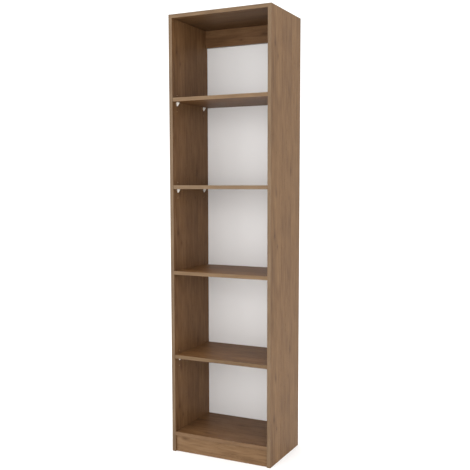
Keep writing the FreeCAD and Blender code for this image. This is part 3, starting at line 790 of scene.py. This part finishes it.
def cam_drum(radius, deep):
    """A cam lock with its face up in the plane Z = 0 and its window towards -X."""
    drum = bmesh.new()
    bmesh.ops.create_cone(drum, cap_ends=True, segments=48, radius1=radius, radius2=radius, depth=deep)
    bmesh.ops.translate(drum, verts=drum.verts, vec=(0.0, 0.0, -deep / 2))
    caps = [face for face in drum.faces if len(face.verts) > 4]
    soften(drum, list({edge for cap in caps for edge in cap.edges}), DRUM_ROUNDING)
    bolt_level = board / 2
    window_low = (-2 * radius, -WINDOW / 2, -bolt_level - WINDOW / 2)
    window_high = (WINDOW / 2, WINDOW / 2, -bolt_level + WINDOW / 2)
    drum = carve(drum, block(window_low, window_high))
    arm = CROSS_SHARE * radius
    for cutter in (
        block((-arm, -CROSS_WIDE / 2, -CROSS_DEEP), (arm, CROSS_WIDE / 2, MM)),
        block((-CROSS_WIDE / 2, -arm, -CROSS_DEEP), (CROSS_WIDE / 2, arm, MM)),
    ):
        drum = carve(drum, cutter)
    arrow = bmesh.new()
    outline = [(-0.92 * radius, 0.0), (-0.72 * radius, -ARROW_HALF_WIDE), (-0.72 * radius, ARROW_HALF_WIDE)]
    face = arrow.faces.new([arrow.verts.new((x, y, -ARROW_DEEP)) for x, y in outline])
    grown = bmesh.ops.extrude_face_region(arrow, geom=[face])["geom"]
    bmesh.ops.translate(arrow, verts=corners_of(grown), vec=(0.0, 0.0, MM))
    bmesh.ops.recalc_face_normals(arrow, faces=arrow.faces)
    return carve(drum, arrow)


for board_name in LOCKED_BOARDS:
    node = "cam_locks_" + board_name
    shape = bmesh.new()
    for lowest, highest in solids(node):
        middle = (lowest + highest) / 2
        drum = cam_drum((highest.x - lowest.x) / 2, highest.z - lowest.z)
        if board_name == "top":
            face_at = Matrix.Translation((middle.x, middle.y, highest.z))
        else:
            face_at = Matrix.Translation((middle.x, middle.y, lowest.z)) @ Matrix.Rotation(math.pi, 4, "X")
        join(shape, drum, face_at @ facing(middle.x < 0.0))
        drum.free()
    finish_piece(shape, "cam_drums_" + board_name, zinc, "carcass", node)
print("cam locks", len(solids("cam_locks_top")), "to a board")

# %% [markdown]
# ## Cam bolts
#
# A cam bolt screws into the side and its head is caught by the drum. The shank, the neck and the mushroom
# head are turned in one go. The thread is a small triangle that is spun round the bolt while it moves along
# it.

# %% The cam bolt
THREAD_LENGTH = 10.0 * MM
THREAD_PITCH = 2.2 * MM
THREAD_ROOT = 2.6 * MM
THREAD_START = -0.5 * MM
THREAD_HALF_WIDE = 0.5 * MM
THREAD_TURNS = 3.6
STEPS_A_TURN = 20
BOLT_HEAD = 3.3 * MM
BOLT_NECK = 2.2 * MM
BOLT_SHANK = 3.0 * MM


def cam_bolt(length, radius):
    """A bolt along X: its thread ends at X = 0 and its head at X = length less the thread."""
    end = length - THREAD_LENGTH
    shape = turned([
        (-THREAD_LENGTH, 0.0), (-THREAD_LENGTH, 0.5 * THREAD_ROOT), (-0.88 * THREAD_LENGTH, THREAD_ROOT),
        (-0.6 * MM, THREAD_ROOT), (0.0, BOLT_SHANK), (end - 10.8 * MM, BOLT_SHANK),
        (end - 10.2 * MM, BOLT_NECK), (end - 6.6 * MM, BOLT_NECK), (end - 6.0 * MM, 0.8 * BOLT_HEAD),
        (end - 4.6 * MM, BOLT_HEAD), (end - 2.0 * MM, BOLT_HEAD), (end - 0.6 * MM, 0.75 * BOLT_HEAD),
        (end, 0.35 * BOLT_HEAD), (end, 0.0),
    ])
    thread = bmesh.new()
    foot = THREAD_ROOT - RIB
    tooth = [
        (THREAD_START, radius),
        (THREAD_START + THREAD_HALF_WIDE, foot),
        (THREAD_START - THREAD_HALF_WIDE, foot),
    ]
    face = thread.faces.new([thread.verts.new((x, 0.0, z)) for x, z in tooth])
    steps = int(THREAD_TURNS * STEPS_A_TURN)
    move = (-THREAD_PITCH / STEPS_A_TURN, 0.0, 0.0)
    spun = [face] + list(face.edges) + list(face.verts)
    angle = math.tau * THREAD_TURNS
    bmesh.ops.spin(thread, geom=spun, axis=(1, 0, 0), dvec=move, angle=angle, steps=steps)
    bmesh.ops.recalc_face_normals(thread, faces=thread.faces)
    join(shape, thread)
    thread.free()
    return shape


for board_name in LOCKED_BOARDS:
    node = "cam_bolts_" + board_name
    shape = bmesh.new()
    for lowest, highest in solids(node):
        middle = (lowest + highest) / 2
        on_left = middle.x < 0.0
        side_face = lowest.x + THREAD_LENGTH if on_left else highest.x - THREAD_LENGTH
        bolt = cam_bolt(highest.x - lowest.x, (highest.z - lowest.z) / 2)
        join(shape, bolt, Matrix.Translation((side_face, middle.y, middle.z)) @ facing(on_left))
        bolt.free()
    finish_piece(shape, "threaded_bolts_" + board_name, zinc, "carcass", node)
print("cam bolts", len(solids("cam_bolts_top")), "to a board")

# %% [markdown]
# ## Dowels
#
# A beech dowel has flutes along it, so that air and glue can leave the hole. Its section is a circle with
# every second point pulled in, extruded from one pointed end to the other.

# %% The dowel
FLUTES = 18
FLUTE_DEPTH = 0.025
POINT_SHARE = 0.75
POINT_LENGTH = 1.0 * MM


def fluted_dowel(length, radius):
    """A dowel along X, centred."""
    shape = bmesh.new()
    bmesh.ops.create_circle(shape, cap_ends=True, segments=2 * FLUTES, radius=radius)
    for vertex in shape.verts:
        angle = math.atan2(vertex.co.y, vertex.co.x)
        vertex.co *= 1.0 - FLUTE_DEPTH + FLUTE_DEPTH * math.cos(FLUTES * angle)
    bmesh.ops.rotate(shape, verts=shape.verts, matrix=Matrix.Rotation(math.pi / 2, 3, "Y"))
    bmesh.ops.translate(shape, verts=shape.verts, vec=(-length / 2, 0.0, 0.0))
    bmesh.ops.scale(shape, verts=shape.verts, vec=(1.0, POINT_SHARE, POINT_SHARE))
    cap = shape.faces[:][0]
    straight = length - 2.0 * POINT_LENGTH
    for step, scale in ((POINT_LENGTH, 1 / POINT_SHARE), (straight, 1.0), (POINT_LENGTH, POINT_SHARE)):
        grown = bmesh.ops.extrude_face_region(shape, geom=[cap])["geom"]
        ring = corners_of(grown)
        bmesh.ops.translate(shape, verts=ring, vec=(step, 0.0, 0.0))
        bmesh.ops.scale(shape, verts=ring, vec=(1.0, scale, scale))
        cap = [face for face in grown if isinstance(face, bmesh.types.BMFace)][0]
    bmesh.ops.recalc_face_normals(shape, faces=shape.faces)
    return shape


dowel_nodes = [name for name in nodes if name.startswith("dowels_")]
for node in dowel_nodes:
    shape = bmesh.new()
    for lowest, highest in solids(node):
        dowel = fluted_dowel(highest.x - lowest.x, (highest.z - lowest.z) / 2)
        join(shape, dowel, Matrix.Translation((lowest + highest) / 2))
        dowel.free()
    finish_piece(shape, "fluted_" + node, beech, "carcass", node, smooth_angle=50.0)
print("sets of dowels", len(dowel_nodes))

# %% [markdown]
# ## Back panel nails
#
# Thin wire nails hold the back panel, each in a hole of its own with its head in a shallow recess. A nail
# is turned in one go: a point, a straight shank and a slightly domed head. Each one has its own turn about
# its length, so that the flat sides of neighbouring heads don't line up.

# %% The nails
NAIL_SHANK = 0.8 * MM
NAIL_TURN = 2.4


def wire_nail(length, radius):
    """A nail along X with its point at X = 0."""
    return turned([
        (0.0, 0.0), (2.2 * MM, NAIL_SHANK), (length - 0.9 * MM, NAIL_SHANK),
        (length - 0.7 * MM, 0.9 * radius), (length - 0.5 * MM, radius), (length - 0.3 * MM, 0.95 * radius),
        (length - 0.08 * MM, 0.55 * radius), (length, 0.0),
    ], steps=16)


shape = bmesh.new()
for i, (lowest, highest) in enumerate(solids("back_panel_nails")):
    middle = (lowest + highest) / 2
    nail = wire_nail(highest.y - lowest.y, (highest.x - lowest.x) / 2)
    to_front = Matrix.Rotation(math.pi / 2, 4, "Z")
    own_turn = Matrix.Rotation(NAIL_TURN * i, 4, "X")
    join(shape, nail, Matrix.Translation((middle.x, lowest.y, middle.z)) @ to_front @ own_turn)
    nail.free()
finish_piece(shape, "wire_nails", nail_steel, "carcass", "back_panel_nails", smooth_angle=50.0)
print("nails", len(solids("back_panel_nails")))

# %% [markdown]
# ## Floor, light and camera
#
# Most of the light comes from a bright white surround, so that no face is dark and no shadow is hard. Five
# large and weak lamps add a little from the front and from above, and the insides still fall off gently.
# The floor is plain and pale, with a faint glow of its own that brings it nearer to the white around it.

# %% Floor
FLOOR_RADIUS = 60.0
FLOOR_GLOW = 0.10
FLOOR_LOW = (0.920, 0.920, 0.920, 1.0)
FLOOR_HIGH = (0.935, 0.935, 0.935, 1.0)
floor_mesh = bmesh.new()
bmesh.ops.create_circle(floor_mesh, cap_ends=True, segments=96, radius=FLOOR_RADIUS)
floor_data = bpy.data.meshes.new("floor")
floor_mesh.to_mesh(floor_data)
floor_mesh.free()
floor = bpy.data.objects.new("floor", floor_data)
bpy.context.scene.collection.objects.link(floor)
floor_material, floor_shader, floor_place = new_material("pale_floor")
speckle = floor_place.noise(3.0, 2.0)
connect(floor_shader, Base_Color=speckle.mix(FLOOR_LOW, FLOOR_HIGH), Roughness=0.9)
floor_shader.inputs["Emission Color"].default_value = (1.0, 1.0, 1.0, 1.0)
floor_shader.inputs["Emission Strength"].default_value = FLOOR_GLOW
floor_data.materials.append(floor_material)
print("floor radius", FLOOR_RADIUS)

# %% World and lamps
SURROUND = 1.27
world = bpy.data.worlds.new("studio")
world.use_nodes = True
backdrop = world.node_tree.nodes["Background"]
backdrop.inputs["Color"].default_value = (1.0, 1.0, 1.0, 1.0)
backdrop.inputs["Strength"].default_value = SURROUND
bpy.context.scene.world = world


def soft_lamp(name, place, aim, side, watts):
    """A square area lamp at a place, turned to shine at a point."""
    data = bpy.data.lights.new(name, "AREA")
    data.shape = "SQUARE"
    data.size = side
    data.energy = watts
    lamp = bpy.data.objects.new(name, data)
    lamp.location = place
    lamp.rotation_euler = (Vector(aim) - Vector(place)).to_track_quat("-Z", "Y").to_euler()
    bpy.context.scene.collection.objects.link(lamp)


HALF_WAY_UP = (0.0, 0.0, 0.9)
soft_lamp("key_left", (-3.2, -3.6, 1.6), HALF_WAY_UP, 2.5, 50)
soft_lamp("key_right", (3.0, -3.6, 1.6), HALF_WAY_UP, 2.5, 57)
soft_lamp("front_low", (-0.4, -4.5, 1.2), HALF_WAY_UP, 3.0, 10)
soft_lamp("front_high", (-0.4, -4.0, 3.4), HALF_WAY_UP, 2.5, 20)
soft_lamp("overhead", (0.0, -1.0, 4.2), (0.0, -1.0, 0.0), 3.0, 20)
print("lamps", len(bpy.data.lights))

# %% Camera
CAMERA_PLACE = (1.3674, -2.7056, 1.1166)
CAMERA_TURN = 0.449
CAMERA_DIP = 0.094
CAMERA_LENS = 55.85
CAMERA_SHIFT = (-0.0311, 0.0413)
camera_data = bpy.data.cameras.new("camera")
camera_data.sensor_width = 36.0
camera_data.lens = CAMERA_LENS
camera_data.shift_x, camera_data.shift_y = CAMERA_SHIFT
camera = bpy.data.objects.new("camera", camera_data)
camera.location = CAMERA_PLACE
camera.rotation_euler = (math.pi / 2 - CAMERA_DIP, 0.0, CAMERA_TURN)
bpy.context.scene.collection.objects.link(camera)
bpy.context.scene.camera = camera
bpy.context.scene.view_settings.view_transform = "Standard"
print("camera at", CAMERA_PLACE)
